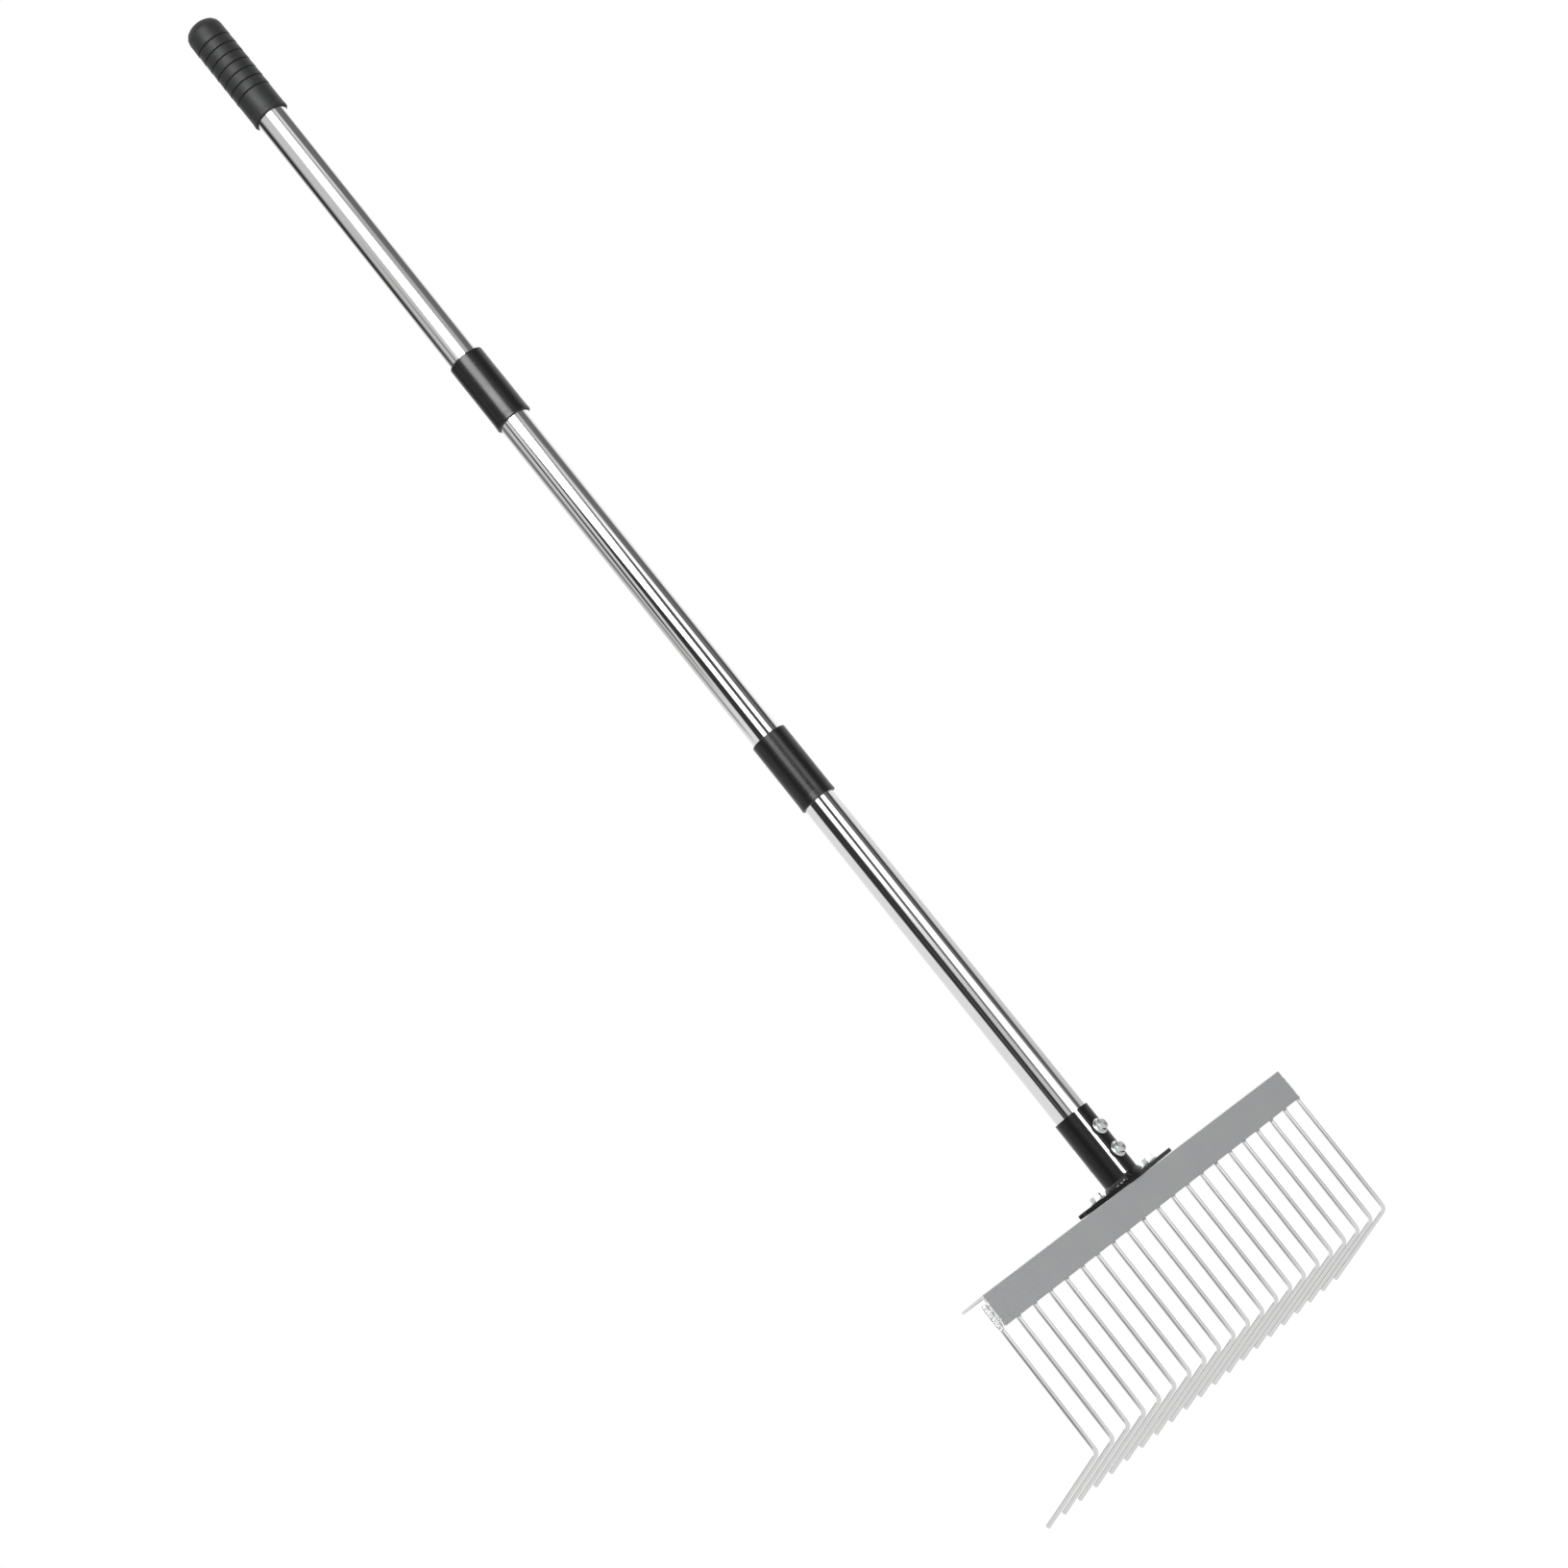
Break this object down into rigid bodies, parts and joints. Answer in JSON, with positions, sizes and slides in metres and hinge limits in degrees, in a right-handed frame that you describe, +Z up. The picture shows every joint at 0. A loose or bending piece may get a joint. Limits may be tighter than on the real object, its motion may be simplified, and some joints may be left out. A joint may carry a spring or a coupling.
{
  "type": "garden rake",
  "caption": "Long-handled rake: a three-part steel tube pole with plastic couplers in a bolted black socket, on an angle bar with welded wire tines bent back at the foot.",
  "frame": {"origin": "The centre of the angle bar's front face, half way along the bar and half way up its front leg.", "axes": "+Z runs up the pole, +X runs along the bar to the right seen from the front, and +Y runs backwards, the way the tine tips point."},
  "size_m": [0.4096, 0.0909, 1.2692],
  "materials": {
    "polished_steel": "polished stainless steel tube",
    "matte_steel": "matte rolled stainless steel",
    "wire": "bright drawn steel wire with its weld beads",
    "black_plastic": "moulded black plastic, semi-gloss",
    "black_coating": "glossy black powder coating",
    "zinc": "bright zinc plating"
  },
  "bodies": {
    "root": {"pole_tube_lower": "polished_steel", "pole_tube_middle": "polished_steel", "pole_tube_upper": "polished_steel", "angle_bar": "matte_steel", "tine_01": "wire", "tine_02": "wire", "tine_03": "wire", "tine_04": "wire", "tine_05": "wire", "tine_06": "wire", "tine_07": "wire", "tine_08": "wire", "tine_09": "wire", "tine_10": "wire", "tine_11": "wire", "tine_12": "wire", "tine_13": "wire", "tine_14": "wire", "tine_15": "wire", "tine_16": "wire", "tine_17": "wire", "tine_18": "wire", "tine_19": "wire", "tine_20": "wire", "tine_21": "wire", "end_cap": "black_plastic", "coupler_sleeve_lower": "black_plastic", "coupler_sleeve_upper": "black_plastic", "threaded_plug_lower": "black_plastic", "threaded_plug_upper": "black_plastic", "base_plate": "black_coating", "socket_tube": "black_coating", "socket_weld": "black_coating", "socket_bolt_lower": "zinc", "socket_bolt_upper": "zinc", "plate_bolt_left": "zinc", "plate_bolt_right": "zinc", "plate_nut_left": "zinc", "plate_nut_right": "zinc"}
  },
  "joints": []
}
